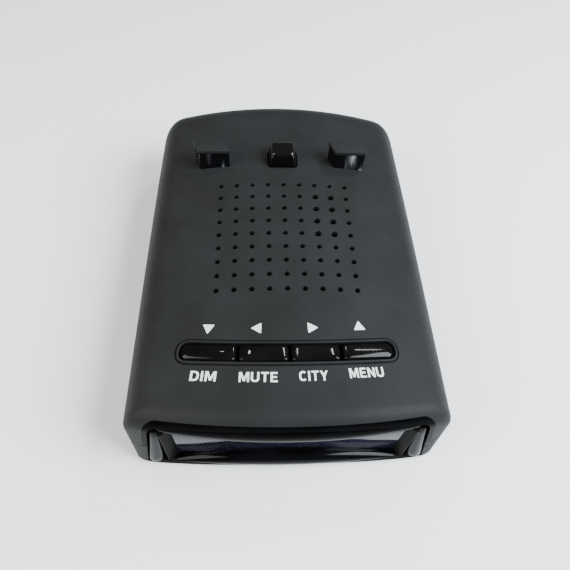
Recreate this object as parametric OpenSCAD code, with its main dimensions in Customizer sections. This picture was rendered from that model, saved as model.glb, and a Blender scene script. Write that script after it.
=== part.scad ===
// Dash-top radar detector: two-shell case, alert lights, speaker, four keys and display.
// Millimetres. +Z is up, +Y points at the road ahead, and the display end is at -Y.

/* [Case] */
// Overall length, nose to display ledge
body_l = 105; // [100:1:112]
// Overall width at the parting line
body_w = 71; // [68:1:74]
// Height of the crown above the surface it stands on
crown_z = 28; // [27:0.5:30]
// Radius of the sideways crown of the lid
crown_r = 131; // [110:1:160]
// Radius of the lid's long edges
edge_r = 6; // [5:0.5:7]
// Wall thickness of both shells
wall = 2; // [1.6:0.1:2.2]
// Height of the parting line
split_z = 12; // [11:0.5:13]

/* [Speaker grille] */
// Distance between grille holes
grille_pitch = 4.1; // [3.8:0.1:4.2]
// Diameter of the blind dimples
dimple_d = 1.3; // [1.1:0.1:1.5]
// Diameter of the holes that go through
sound_hole_d = 1.7; // [1.5:0.1:2]

/* [Keys] */
// Width of the slot that holds the keys
key_slot_l = 48; // [46:0.5:50]
// Depth of the slot, front to back
key_slot_w = 5; // [4.5:0.1:5.4]
// Key travel
key_travel = 0.4; // [0.3:0.05:0.5]

/* [Alert lights] */
// Height of the light hoods above the crown
hood_rise = 4.8; // [4:0.1:5.2]
// Width of a light block
light_w = 8; // [7:0.1:9]
// Sideways lean of the light blocks in plan
light_shear = 0.4; // [0:0.05:0.5]

/* [Sockets] */
// Diameter of the power socket's bore
jack_bore_d = 3.6; // [3.5:0.05:3.8]
// Depth of the power socket's bore
jack_depth = 11; // [9:0.5:12]

/* [Hidden] */
$fn = 64;
eps = 0.02;
gap = 0.2;                               // clearance of parts that move
fit_gap = 0.1;                           // clearance of parts that don't
foot_h = 0.8;
floor_z = foot_h;                        // underside of the bottom shell
nose_y = body_l / 2;
near_y = -body_l / 2 + 1.6;              // near end of the shells, behind the ledge's bulge
half_w = body_w / 2;
crown_lift = 0.06;                       // the end rolls start this far above the crown
nose_r = 10;                             // roll of the lid down to the nose
near_r = 5;                              // roll of the lid down to the display
nose_hw = half_w - 1.8;                  // the sides close in towards the nose
nose_corner_r = 9;
near_corner_r = 3.5;
nose_cx = nose_hw + 0.15 - nose_corner_r;
near_cx = half_w - 0.1 - near_corner_r;
base_r = 3;                              // radius of the lower long edges
shoulder_z = crown_z - 3.3;              // top of the long edges' arcs
grille_y = -1.6;
grille_n = 9;
sound_cols = [2, 3];                     // these columns of the grille hold the sound holes
speaker_x = 2.5 * grille_pitch;
speaker_y = grille_y + 1.5 * grille_pitch;
speaker_r = 13;
speaker_z = 23.2;                        // front of the speaker's rim
key_arc_r = 175;                         // the key row's arc in plan
key_y = -34.2;                           // middle of the key row
key_n = 4;
key_pitch = 11.1;                        // gaps between keys; the outer two keys run to the slot's ends
key_split = 0.4;
key_flange_t = 0.8;
switch_xs = [-17.2, -5.55, 5.55, 17.2];
switch_h = 3;
switch_floor = 0.6;                      // thickness under the plunger's pocket
plunger_r = 1.6;
plunger_top = 22.4;
key_proud = 0.5;                         // key tops above the lid
rim_w = 0.7;
rim_h = 0.45;
light_x = 18.2;
light_y = 22.1;                          // front face of the light blocks
light_d = 3.9;
hood_t = 1.1;
hood_z = crown_z + hood_rise;
lens_y = 24.2;                           // middle of the rear laser lens
lens_w = 8;
lens_d = 6.2;
lens_rise = 3.8;
led_r = 1.5;
board_z = 17;                            // underside of the main board
board_t = 1.6;
board_top = board_z + board_t;
bezel_hw = 32.4;                         // half width of the display bezel
bezel_r = 131;                           // plan radius of the bezel's front
ledge_r = 112;                           // plan radius of the ledge, so that it is a crescent
ledge_z = 4.2;
window_y = near_y + 2.9;                 // front face of the display window
window_t = 1.5;
window_hw = 25.3;
window_z0 = 6.7;
window_z1 = 19.1;
post_x = 30;
post_r = 2.2;
post_lean = 8.5;                         // the posts' feet lean towards the driver, degrees
post_splay = 8;                          // and apart
jack_y = 14;
jack_z = 11.4;
jack_face_x = 34.2;                      // mouth of the power socket
usb_y = 27;
usb_z = 11.4;
screw_x = 26.5;
screw_ys = [-38, 36];
foot_x = 25;
foot_ys = [-27, 27];
foot_r = 4.5;
post_ys = [-30, 0];                      // main board's posts
post_bx = 28;
horn_x = -11;
front_lens_x = 11;
front_lens_z = 10.3;

black = [0.09, 0.09, 0.095];
gloss = [0.02, 0.02, 0.022];
metal = [0.72, 0.73, 0.75];
green = [0.05, 0.22, 0.12];

// ---------- shared shapes ----------

module both() {
  for (s = [-1, 1]) scale_x(s) children();
}

module scale_x(s) {
  if (s < 0) mirror([1, 0, 0]) children();
  else children();
}

// Everything under the lid's sideways crown, raised or sunk by "up".
module under_crown(up = 0) {
  translate([0, 0, crown_z - crown_r]) rotate([90, 0, 0])
    cylinder(r = crown_r + up, h = 200, center = true, $fn = 180);
}

// The square corner beyond an outline's corner arc.
module corner_cut(x, y, r, way) {
  difference() {
    translate([x, way > 0 ? y : y - 30]) square([30, 30]);
    translate([x, y]) circle(r = r);
  }
}

// The case seen end on: crowned lid, rounded long edges.
module end_view(g) {
  difference() {
    intersection() {
      translate([0, crown_z - crown_r]) circle(r = crown_r - g, $fn = 180);
      translate([g - half_w, floor_z]) square([2 * (half_w - g), 60]);
    }
    both() {
      corner_cut(half_w - edge_r, shoulder_z - edge_r, edge_r - g, 1);
      corner_cut(half_w - base_r, floor_z + base_r, base_r - g, -1);
    }
  }
}

// The case seen from the side: the lid rolls down to the nose and to the display.
module side_view(g) {
  nose = nose_r - g;
  near = near_r - g;
  y0 = near_y + near_r;
  y1 = nose_y - nose_r;
  top = crown_z + crown_lift;
  translate([y1, top - nose_r]) circle(r = nose);
  translate([y0, top - near_r]) circle(r = near);
  translate([y0, -20]) square([y1 - y0, top - g + 20]);
  translate([y0, -20]) square([nose_y - g - y0, top - nose_r + 20]);
  translate([near_y + g, -20]) square([y1 - near_y - g, top - near_r + 20]);
}

// How far the bowed ends have fallen back at x.
function bow_at(x) = crown_r - sqrt(crown_r * crown_r - x * x);

// The case seen from above: bowed ends, and sides that close in towards the nose.
module top_view(g) {
  difference() {
    intersection() {
      translate([0, nose_y - crown_r]) circle(r = crown_r - g, $fn = 360);
      translate([0, near_y + crown_r]) circle(r = crown_r - g, $fn = 360);
      polygon([[half_w - g, near_y], [nose_hw - g, nose_y], [g - nose_hw, nose_y], [g - half_w, near_y]]);
    }
    both() {
      corner_cut(nose_cx, nose_y - bow_at(nose_cx) + 0.1 - nose_corner_r, nose_corner_r - g, 1);
      corner_cut(near_cx, near_y + bow_at(near_cx) - 0.1 + near_corner_r, near_corner_r - g, -1);
    }
  }
}

// The solid of the whole case, shrunk by g on every side.
module case_form(g = 0) {
  intersection() {
    rotate([90, 0, 0]) linear_extrude(160, center = true) end_view(g);
    rotate([90, 0, 90]) linear_extrude(120, center = true) side_view(g);
    translate([0, 0, -5]) linear_extrude(60) top_view(g);
  }
}

// Plan outline of the arched key row, "grow" wider all round.
module key_row(grow = 0) {
  hw = key_slot_w / 2 + grow;
  r = 0.86 * hw;
  end_a = asin((key_slot_l / 2 + grow) / key_arc_r);
  translate([0, key_y + key_arc_r]) difference() {
    intersection() {
      difference() {
        circle(r = key_arc_r + hw, $fn = 360);
        circle(r = key_arc_r - hw, $fn = 360);
      }
      polygon([[0, 0], [-200 * tan(end_a), -200], [200 * tan(end_a), -200]]);
    }
    both() rotate(end_a) translate([0, -key_arc_r]) for (way = [-1, 1])
      corner_cut(-r, way * (hw - r), r, way);
  }
}

// Plan outline of one key, "grow" wider at the front, back and outer end.
module key_plan(i, grow = 0) {
  side = i < key_n / 2 ? -1 : 1;
  outer = i == 0 || i == key_n - 1;
  x0 = (outer ? key_pitch : 0) + key_split / 2;
  x1 = outer ? key_slot_l / 2 - gap + grow : key_pitch - key_split / 2;
  mid = (x0 + x1) / 2;
  hw = key_slot_w / 2 - gap + grow;
  r = outer ? 0.8 * hw : 0.3;
  scale_x(side) translate([mid, row_y(mid)]) rotate(asin(mid / key_arc_r)) difference() {
    square([x1 - x0, 2 * hw], center = true);
    for (way = [-1, 1]) corner_cut((x1 - x0) / 2 - r, way * (hw - r), r, way);
  }
}

function row_y(x) = key_y + key_arc_r - sqrt(key_arc_r * key_arc_r - x * x);
function crown_at(x) = crown_z - crown_r + sqrt(crown_r * crown_r - x * x);

// Plan outline of a light block; both lean the same way.
module light_plan(w, d) {
  y0 = (light_d - d) / 2;
  s = light_shear;
  polygon([[-w / 2 - s * y0, y0], [w / 2 - s * y0, y0], [w / 2 - s * (y0 + d), y0 + d],
    [-w / 2 - s * (y0 + d), y0 + d]]);
}

module at_light(side) {
  translate([side * light_x, light_y, 0]) children();
}

// ---------- case ----------

module grille() {
  for (i = [0:grille_n - 1], j = [0:grille_n - 1]) {
    x = (i - 4) * grille_pitch;
    y = grille_y + (j - 4) * grille_pitch;
    through = i - 4 >= sound_cols[0] && i - 4 <= sound_cols[1] && j >= 4 && j <= 7;
    if (through) translate([x, y, crown_z - 5]) cylinder(d = sound_hole_d, h = 8, $fn = 24);
    else translate([x, y, crown_at(x) - 0.8]) cylinder(d = dimple_d, h = 3, $fn = 16);
  }
}

// The opening in the case's near end; its top edge follows the crown.
module display_mouth(grow = 0) {
  intersection() {
    translate([-bezel_hw - grow, near_y - 5, floor_z + 1 - grow])
      cube([2 * (bezel_hw + grow), 11 + grow, crown_z]);
    under_crown(-2.6 + grow);
  }
}

module side_sockets() {
  translate([25, jack_y, jack_z]) rotate([0, 90, 0]) cylinder(r = 3.3, h = 30);
  translate([25, usb_y - 4.2, usb_z - 2.2]) cube([30, 8.4, 4.4]);
}

// A ring under the lid that centres the speaker.
module speaker_ring() {
  intersection() {
    translate([speaker_x, speaker_y, speaker_z - 0.8]) difference() {
      cylinder(r = speaker_r + 1.5, h = 6);
      translate([0, 0, -1]) cylinder(r = speaker_r + 0.3, h = 8);
    }
    under_crown(-wall + 0.1);
  }
}

module key_rim() {
  difference() {
    intersection() {
      translate([0, 0, 20]) linear_extrude(20) difference() {
        key_row(rim_w);
        key_row();
      }
      under_crown(rim_h);
    }
    under_crown(-1);
  }
}

module top_cover() {
  color(black) {
    difference() {
      union() {
        intersection() {
          difference() {
            case_form();
            case_form(wall);
          }
          translate([-60, -80, split_z]) cube([120, 160, 60]);
        }
        key_rim();
        speaker_ring();
        for (s = [-1, 1], y = screw_ys)
          translate([s * screw_x, y, split_z + 0.5]) cylinder(r = 2.9, h = 11.6);
      }
      grille();
      translate([0, 0, 15]) linear_extrude(30) key_row();
      display_mouth();
      for (s = [-1, 1]) at_light(s) translate([0, 0, 20]) linear_extrude(20)
        light_plan(light_w + 2 * fit_gap, light_d + 2 * fit_gap);
      translate([-lens_w / 2 - fit_gap, lens_y - lens_d / 2 - fit_gap, 20])
        cube([lens_w + 2 * fit_gap, lens_d + 2 * fit_gap, 20]);
      translate([-20.1, nose_y - 12, split_z - 1]) cube([40.2, 20, 9.1]);
      side_sockets();
      for (s = [-1, 1], y = screw_ys) translate([s * screw_x, y, split_z]) cylinder(r = 1.1, h = 11);
    }
  }
}

module bottom_cover() {
  color(black) difference() {
    union() {
      intersection() {
        difference() {
          case_form();
          difference() {
            case_form(wall);
            translate([-60, -80, -5]) cube([120, 160, 5 + floor_z + wall]);
          }
        }
        translate([-60, -80, floor_z]) cube([120, 160, split_z - floor_z - 0.05]);
      }
      intersection() {
        case_form(0.4);
        for (s = [-1, 1], y = screw_ys)
          translate([s * screw_x, y, floor_z]) cylinder(r = 3.4, h = split_z - floor_z + 0.3);
      }
      for (s = [-1, 1], y = post_ys)
        translate([s * post_bx, y, floor_z + 1]) cylinder(r = 2.2, h = board_z - floor_z - 1 - eps);
    }
    for (s = [-1, 1], y = screw_ys) {
      translate([s * screw_x, y, -1]) cylinder(r = 1.5, h = 30);
      translate([s * screw_x, y, -1]) cylinder(r = 2.8, h = 1 + floor_z + 3.2);
    }
    for (s = [-1, 1], y = post_ys) translate([s * post_bx, y, 8]) cylinder(r = 0.8, h = 20);
    for (s = [-1, 1], y = foot_ys)
      translate([s * foot_x, y, -1]) cylinder(r = foot_r + fit_gap, h = 1 + foot_h + 0.6);
    display_mouth();
    translate([-20.1, nose_y - 12, 3.4]) cube([40.2, 20, 12]);
    side_sockets();
    translate([-17, -12, -1]) cube([34, 22, 1.3 + floor_z]);
    for (i = [-3:3]) translate([i * 4 - 0.7, -26, -1]) cube([1.4, 9, 6]);
  }
}

module rating_plate() {
  color([0.2, 0.2, 0.21]) translate([-16.8, -11.8, floor_z + 0.1]) cube([33.6, 21.6, 0.19]);
}

module rubber_feet() {
  color([0.05, 0.05, 0.05]) for (s = [-1, 1], y = foot_ys)
    translate([s * foot_x, y, 0]) cylinder(r = foot_r, h = foot_h + 0.58);
}

// A pan-head screw standing on its head's seat, threads up or down.
module screw(head_r, head_h, shank_r, len) {
  difference() {
    union() {
      translate([0, 0, -head_h]) cylinder(r = head_r, h = head_h);
      cylinder(r = shank_r, h = len);
    }
    for (a = [0, 90]) rotate(a) translate([-head_r * 0.6, -head_r * 0.13, -head_h - 1])
      cube([head_r * 1.2, head_r * 0.26, 1 + head_h * 0.6]);
  }
}

module case_screws() {
  color(metal) for (s = [-1, 1], y = screw_ys)
    translate([s * screw_x, y, floor_z + 3.2]) screw(2.5, 1.5, 1.08, 17);
}

module board_screws() {
  color(metal) for (s = [-1, 1], y = post_ys)
    translate([s * post_bx, y, board_top]) mirror([0, 0, 1]) screw(1.5, 1, 0.78, 8);
}

// ---------- display end ----------

// A ring of the given section about an upright axis, bowed towards the driver.
module bowed(r, front_y, half_x) {
  intersection() {
    translate([0, front_y + r, 0]) rotate([0, 0, -110])
      rotate_extrude(angle = 40, $fn = 360) children();
    translate([-half_x, -80, 0]) cube([2 * half_x, 60, 40]);
  }
}

// Glossy brow over the display, its section drawn outwards from the bow's axis.
module display_brow() {
  color(gloss) intersection() {
    bowed(bezel_r, near_y - 0.4, bezel_hw - 0.1) union() {
      translate([bezel_r - 3.2, crown_z - 5.6]) circle(r = 3.2);
      translate([bezel_r - 4.9, crown_z - 7.6]) square([2, 5.6]);
    }
    under_crown(-2.7);
  }
}

module display_ledge() {
  color(gloss) bowed(ledge_r, -body_l / 2, window_hw + 0.4) union() {
    translate([ledge_r - 2.4, ledge_z]) circle(r = 2.4);
    translate([ledge_r - 4.5, ledge_z - 2.1]) square([2.2, 3.1]);
  }
}

// Frame behind the window, with wings that close the recess behind the posts.
module window_frame() {
  y = window_y + window_t + 0.05;
  z = window_z0;
  h = window_z1 - z;
  color(gloss) {
    difference() {
      translate([-window_hw - 0.4, y, z]) cube([2 * window_hw + 0.8, 1.4, h]);
      translate([-24, y - 1, z + 1]) cube([48, 6, h - 2]);
    }
    both() translate([window_hw - 0.1, y + 0.1, z]) cube([0.5, 4.1, h - 1.5]);
    both() translate([window_hw + 0.1, near_y + 7.9, z]) cube([6.8, 0.8, h - 1.5]);
  }
}

module display_window() {
  color([0.12, 0.13, 0.18, 0.6]) translate([0.1 - window_hw, window_y, window_z0])
    cube([2 * window_hw - 0.2, window_t, window_z1 - window_z0]);
}

module post() {
  translate([post_x, near_y + 2.9, 4.6]) rotate([-post_lean, -post_splay, 0]) {
    cylinder(r = post_r, h = 13.6);
    sphere(r = post_r);
  }
}

module right_post() {
  color([0.1, 0.1, 0.11]) post();
}

module left_post() {
  color([0.1, 0.1, 0.11]) mirror([1, 0, 0]) post();
}

module display_board() {
  color(green) translate([-24.4, near_y + 8, 3.4]) cube([48.8, 1, 12.6]);
}

module display_panel() {
  color([0.03, 0.03, 0.05]) translate([-24, near_y + 6, 5.4]) cube([48, 1.9, 13]);
}

module display_ribbon() {
  color([0.8, 0.5, 0.15]) {
    translate([-6, near_y + 9.05, 8]) cube([12, 0.15, 7.5]);
    translate([-6, near_y + 9.05, 15.35]) cube([12, 6, 0.15]);
    translate([-6, near_y + 14.9, 15.35]) cube([12, 0.15, board_z - 15.4]);
  }
}

// ---------- keys ----------

module key_top(i) {
  intersection() {
    translate([0, 0, crown_z - 6]) linear_extrude(10) key_plan(i);
    under_crown(key_proud);
  }
}

module key_flange(i) {
  intersection() {
    translate([0, 0, 20]) linear_extrude(10) key_plan(i, 0.7);
    difference() {
      under_crown(-wall - 0.05);
      under_crown(-wall - key_flange_t);
    }
  }
}

module key(i) {
  x = switch_xs[i];
  color(gloss) {
    difference() {
      key_top(i);
      under_crown(-wall - key_flange_t + 0.1);
    }
    key_flange(i);
    translate([x, row_y(x), plunger_top]) cylinder(r = 1.4, h = crown_at(x) - wall - plunger_top);
  }
}

module dim_key() key(0);
module mute_key() key(1);
module city_key() key(2);
module menu_key() key(3);

module plunger(i) {
  x = switch_xs[i];
  foot_z = board_top + switch_floor + key_travel + gap;
  color([0.85, 0.84, 0.8]) translate([x, row_y(x), foot_z])
    cylinder(r = plunger_r, h = plunger_top - foot_z);
}

module dim_plunger() plunger(0);
module mute_plunger() plunger(1);
module city_plunger() plunger(2);
module menu_plunger() plunger(3);

module switch_bodies() {
  color([0.15, 0.15, 0.16]) for (x = switch_xs) translate([x, row_y(x), board_top]) difference() {
    translate([-3, -3, 0]) cube([6, 6, switch_h]);
    translate([0, 0, switch_floor]) cylinder(r = plunger_r + 0.15, h = 5);
  }
}

// ---------- alert lights and rear laser lens ----------

module alert_window(side) {
  color([0.7, 0.75, 0.8, 0.4]) at_light(side) difference() {
    union() {
      translate([0, 0, 23.2]) linear_extrude(hood_z - hood_t - 23.2) light_plan(light_w, light_d);
      translate([0, 0, 22.2]) linear_extrude(1.2) light_plan(light_w + 1.6, light_d + 1.6);
    }
    translate([-0.4 * light_d / 2, light_d / 2, 20]) cylinder(r = led_r + 0.3, h = 10.4);
  }
}

module left_alert_window() alert_window(-1);
module right_alert_window() alert_window(1);

module alert_hood(side) {
  color(black) at_light(side) translate([0, 0, hood_z - hood_t]) linear_extrude(hood_t)
    light_plan(light_w + 0.4, light_d + 0.4);
}

module left_alert_hood() alert_hood(-1);
module right_alert_hood() alert_hood(1);

module alert_led(side) {
  color([0.9, 0.3, 0.2, 0.8]) at_light(side) translate([-0.4 * light_d / 2, light_d / 2, 0]) {
    translate([0, 0, 25]) cylinder(r = led_r, h = 3.4);
    translate([0, 0, 28.4]) sphere(r = led_r);
    for (s = [-1, 1]) translate([s * 0.65 - 0.2, -0.2, board_top]) cube([0.4, 0.4, 6.6]);
  }
}

module left_alert_led() alert_led(-1);
module right_alert_led() alert_led(1);

module lens_side(half, top_half, lean) {
  z0 = crown_z - 0.4;
  z1 = crown_z + lens_rise;
  polygon([[-half, 20], [half, 20], [half, z0], [top_half + lean, z1], [lean - top_half, z1], [-half, z0]]);
}

module rear_laser_lens() {
  color(gloss) translate([0, lens_y, 0]) {
    intersection() {
      rotate([90, 0, 0]) linear_extrude(20, center = true) lens_side(lens_w / 2, 2.5, 0);
      rotate([90, 0, 90]) linear_extrude(20, center = true) lens_side(lens_d / 2, 2.3, 0.2);
      translate([0, 0, 24.4]) linear_extrude(20) difference() {
        square([lens_w, lens_d], center = true);
        both() corner_cut(lens_w / 2 - 1, lens_d / 2 - 1, 1, 1);
        both() corner_cut(lens_w / 2 - 1, 1 - lens_d / 2, 1, -1);
      }
    }
    translate([-lens_w / 2 - 1, -lens_d / 2 - 1, 23.9]) cube([lens_w + 2, lens_d + 2, 1.2]);
  }
}

module rear_laser_sensor() {
  color([0.08, 0.05, 0.1]) translate([-2, lens_y - 1.5, board_top]) cube([4, 3, 4.6]);
}

// ---------- nose ----------

module nose_window() {
  color([0.05, 0.02, 0.02]) intersection() {
    difference() {
      case_form(0.3);
      case_form(wall);
    }
    translate([-20, nose_y - 11.8, 3.5]) cube([40, 20, 16.5]);
  }
}

module front_laser_lens() {
  color([0.6, 0.1, 0.1, 0.6]) translate([front_lens_x, nose_y - 4, front_lens_z]) rotate([90, 0, 0]) {
    cylinder(r = 5.4, h = 1.6);
    intersection() {
      translate([0, 0, 1.6 - 8]) sphere(r = 9.6);
      translate([0, 0, 1]) cylinder(r = 5.2, h = 6);
    }
  }
}

module lens_holder() {
  color(black) translate([front_lens_x, nose_y - 4, front_lens_z]) rotate([90, 0, 0]) difference() {
    translate([0, 0, -0.2]) cylinder(r = 6.6, h = 4.6);
    translate([0, 0, -1]) cylinder(r = 5.45, h = 8);
  }
}

module front_laser_sensor() {
  color([0.08, 0.05, 0.1]) {
    translate([front_lens_x - 3, nose_y - 14, 6.5]) cube([6, 2, 8]);
    for (x = [-2, 0, 2])
      translate([front_lens_x + x - 0.2, nose_y - 13.2, 14.4]) cube([0.4, 0.4, board_z - 14.4]);
  }
}

module horn_antenna() {
  mouth = nose_y - 4.6;
  color([0.75, 0.75, 0.76]) translate([horn_x, 0, 0]) difference() {
    translate([0, 0, 3.6]) linear_extrude(12.6)
      polygon([[-10, mouth], [10, mouth], [10, nose_y - 8], [7, 22], [-7, 22], [-10, nose_y - 8]]);
    translate([0, 0, 4.8]) linear_extrude(10.2)
      polygon([[-8.8, nose_y], [8.8, nose_y], [8.8, nose_y - 8], [4, 26], [-4, 26], [-8.8, nose_y - 8]]);
  }
}

module microwave_board() {
  color(green) translate([horn_x - 9.5, 6, 15.2]) cube([19, 15.8, 0.9]);
}

module microwave_shield() {
  color(metal) difference() {
    translate([horn_x - 9, 6.6, 10.4]) cube([18, 14.6, 4.75]);
    translate([horn_x - 8.6, 7, 10.8]) cube([17.2, 13.8, 6]);
  }
}

// ---------- main board ----------

module main_board() {
  color(green) difference() {
    translate([0, 0, board_z]) linear_extrude(board_t) union() {
      translate([-30, -40.6]) square([60, 70]);
      translate([-22, 20]) square([44, 26]);
    }
    for (s = [-1, 1], y = screw_ys) translate([s * screw_x, y, 10]) cylinder(r = 3.3, h = 20);
    for (s = [-1, 1], y = post_ys) translate([s * post_bx, y, 10]) cylinder(r = 1, h = 20);
  }
}

module on_board(x, y, w, d, h) {
  translate([x - w / 2, y - d / 2, board_top]) cube([w, d, h]);
}

module under_board(x, y, w, d, h) {
  translate([x - w / 2, y - d / 2, board_z - h]) cube([w, d, h]);
}

module processor() {
  color([0.08, 0.08, 0.09]) on_board(-15, -12, 12, 12, 1.4);
}

module logic_chips() {
  color([0.1, 0.1, 0.11]) {
    on_board(-14, 3, 8, 5, 1.2);
    on_board(-25, 12, 5, 5, 1);
    on_board(-10, 14, 5, 4, 1);
    on_board(24, -22, 5, 6, 1.2);
    under_board(10, -20, 10, 10, 1.4);
  }
}

module capacitors() {
  color([0.2, 0.2, 0.35]) for (p = [[14, -4], [22, -4], [-2, -8], [6, -6]])
    translate([p[0], p[1], board_z - 8.5]) cylinder(r = 3, h = 8.5);
}

module crystal() {
  color(metal) on_board(-25, -7, 4, 9, 2.4);
}

module chip_resistors() {
  color([0.3, 0.27, 0.22]) for (i = [0:5], j = [0:2])
    on_board(-26 + i * 2.6, -20.5 - j * 2.2, 1.6, 0.8, 0.5);
}

module board_connectors() {
  color([0.92, 0.9, 0.84]) {
    on_board(26, -12, 4, 7, 3);
    on_board(-7, -22, 8, 4, 2.2);
  }
}

module backup_cell() {
  color(metal) translate([-16, -18, board_z - 2.4]) cylinder(r = 6, h = 2.4);
}

module gps_antenna() {
  color([0.78, 0.72, 0.6]) {
    on_board(0, 37, 17, 17, 4);
    translate([-7, 30, board_top + 4]) cube([14, 14, 0.2]);
  }
}

module gps_receiver() {
  color(metal) on_board(-17, 31, 13, 12, 2.2);
}

module speaker_basket() {
  color([0.2, 0.2, 0.21]) translate([speaker_x, speaker_y, speaker_z]) difference() {
    union() {
      translate([0, 0, -1]) cylinder(r = speaker_r, h = 1);
      translate([0, 0, -3.2]) cylinder(r = speaker_r - 1.6, h = 2.4);
    }
    translate([0, 0, -2.6]) cylinder(r = speaker_r - 2.2, h = 4);
    translate([0, 0, -4]) cylinder(r = 4, h = 4);
  }
}

module speaker_magnet() {
  color([0.5, 0.5, 0.52]) translate([speaker_x, speaker_y, board_top + 0.1]) {
    cylinder(r = 7, h = 1.25);
    cylinder(r = 3.6, h = 2.6);
  }
}

module speaker_cone() {
  color([0.12, 0.12, 0.13]) translate([speaker_x, speaker_y, speaker_z]) {
    difference() {
      translate([0, 0, -1.2]) cylinder(r1 = 4.5, r2 = speaker_r - 2.4, h = 1.2);
      translate([0, 0, -0.9]) cylinder(r1 = 4.5, r2 = speaker_r - 2.4, h = 1.2);
    }
    translate([0, 0, -1.2]) cylinder(r = 4.6, h = 0.35);
  }
}

module speaker_gasket() {
  color([0.06, 0.06, 0.06]) translate([speaker_x, speaker_y, speaker_z]) difference() {
    cylinder(r = speaker_r - 0.3, h = 0.5);
    translate([0, 0, -1]) cylinder(r = speaker_r - 2, h = 3);
  }
}

// ---------- sockets ----------

module jack_housing() {
  color([0.06, 0.06, 0.06]) difference() {
    union() {
      translate([jack_face_x - jack_depth, jack_y - 4.4, 6.7])
        cube([jack_depth - 2.4, 8.8, board_z - 6.8]);
      translate([31, jack_y, jack_z]) rotate([0, 90, 0]) cylinder(r = 3.2, h = jack_face_x - 31);
    }
    translate([jack_face_x - jack_depth - 1, jack_y, jack_z]) rotate([0, 90, 0])
      cylinder(d = jack_bore_d, h = jack_depth + 2);
  }
}

module jack_contacts() {
  color([0.8, 0.7, 0.45]) {
    translate([jack_face_x - jack_depth - 0.4, jack_y - 3, 8]) cube([0.35, 6, board_z - 8]);
    both_y(jack_y) translate([26, 4.45, 9]) cube([4, 0.3, board_z - 9]);
  }
}

// Copies either side of the plane at y.
module both_y(y) {
  translate([0, y, 0]) children();
  translate([0, y, 0]) mirror([0, 1, 0]) children();
}

module usb_shell() {
  color(metal) difference() {
    translate([26.4, usb_y - 3.9, usb_z - 1.95]) cube([7.5, 7.8, 3.9]);
    translate([26.9, usb_y - 3.5, usb_z - 1.55]) cube([8, 7, 3.1]);
  }
}

module usb_tongue() {
  color([0.06, 0.06, 0.06]) translate([26.95, usb_y - 2.7, usb_z - 0.2]) cube([5.4, 5.4, 1]);
}

top_cover();
bottom_cover();
display_brow();
display_ledge();
window_frame();
display_window();
left_post();
right_post();
rear_laser_lens();
left_alert_window();
right_alert_window();
left_alert_hood();
right_alert_hood();
left_alert_led();
right_alert_led();
nose_window();
front_laser_lens();
front_laser_sensor();
rear_laser_sensor();
main_board();
display_board();
display_panel();
display_ribbon();
horn_antenna();
microwave_board();
microwave_shield();
gps_antenna();
gps_receiver();
speaker_basket();
speaker_magnet();
speaker_cone();
speaker_gasket();
dim_key();
mute_key();
city_key();
menu_key();
dim_plunger();
mute_plunger();
city_plunger();
menu_plunger();
switch_bodies();
jack_housing();
jack_contacts();
usb_shell();
usb_tongue();
case_screws();
board_screws();
rubber_feet();
processor();
logic_chips();
capacitors();
crystal();
chip_resistors();
board_connectors();
backup_cell();
lens_holder();
rating_plate();
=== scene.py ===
# Dash-top radar detector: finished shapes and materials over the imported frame.
# Lengths are written in millimetres and become metres as each mesh is made.
import math

import bmesh
import bpy
from mathutils import Matrix, Vector


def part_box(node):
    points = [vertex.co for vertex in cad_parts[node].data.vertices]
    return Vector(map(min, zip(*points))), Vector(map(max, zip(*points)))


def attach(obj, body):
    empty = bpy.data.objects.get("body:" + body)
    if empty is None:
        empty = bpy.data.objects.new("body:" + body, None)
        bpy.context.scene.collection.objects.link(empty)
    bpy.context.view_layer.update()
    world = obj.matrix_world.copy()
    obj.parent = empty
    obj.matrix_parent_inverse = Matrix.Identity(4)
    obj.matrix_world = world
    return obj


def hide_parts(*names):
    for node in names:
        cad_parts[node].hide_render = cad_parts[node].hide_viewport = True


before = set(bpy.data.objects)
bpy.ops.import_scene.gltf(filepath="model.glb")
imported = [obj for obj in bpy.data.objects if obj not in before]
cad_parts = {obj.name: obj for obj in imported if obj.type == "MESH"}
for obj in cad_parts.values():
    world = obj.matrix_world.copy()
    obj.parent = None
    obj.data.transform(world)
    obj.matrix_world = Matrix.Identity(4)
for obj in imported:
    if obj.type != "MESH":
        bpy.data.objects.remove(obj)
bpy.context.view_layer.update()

MM = 0.001


def span(node):
    """A node's low and high corners in millimetres."""
    low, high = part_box(node)
    return Vector(low) / MM, Vector(high) / MM


def middle(node):
    """The middle of a node's box in millimetres."""
    low, high = span(node)
    return (low + high) / 2


def hand(side):
    return "right" if side > 0 else "left"


# ---------------------------------------------------------------- case form

base_low, base_high = span("bottom_cover")

CROWN_Z = 28.0
CROWN_R = 131.0
NOSE_Y = base_high.y
NEAR_Y = base_low.y
SPLIT_Z = span("top_cover")[0].z
FLOOR_Z = base_low.z
HALF_W = base_high.x - 0.05
WALL = 2.0
EDGE_R = 6.0
NOSE_R = 10.0
NEAR_R = 4.2
NOSE_SQUARENESS = 2.2
NEAR_SQUARENESS = 5.0
NOSE_BOW = 840.0
NEAR_BOW = 348.0
BASE_R = 2.0
WIDEST_Y = -16.0
LEAN_FROM_Z = 20.0


def crown(x):
    """Height of the lid's crown at x."""
    return CROWN_Z - CROWN_R + math.sqrt(CROWN_R**2 - x * x)


def bow(x):
    """How far the display's brow has fallen back at x."""
    return CROWN_R - math.sqrt(CROWN_R**2 - x * x)


def end_y(x, end):
    """Where the case's nose (end 1) or near end (end -1) stands at x."""
    return NOSE_Y - x * x / NOSE_BOW if end > 0 else NEAR_Y + x * x / NEAR_BOW


def half_width(y):
    """Half width of the case, which closes in slightly towards the nose."""
    return HALF_W - 0.7 * (max(0.0, y - WIDEST_Y) / 69.0) ** 2


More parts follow.
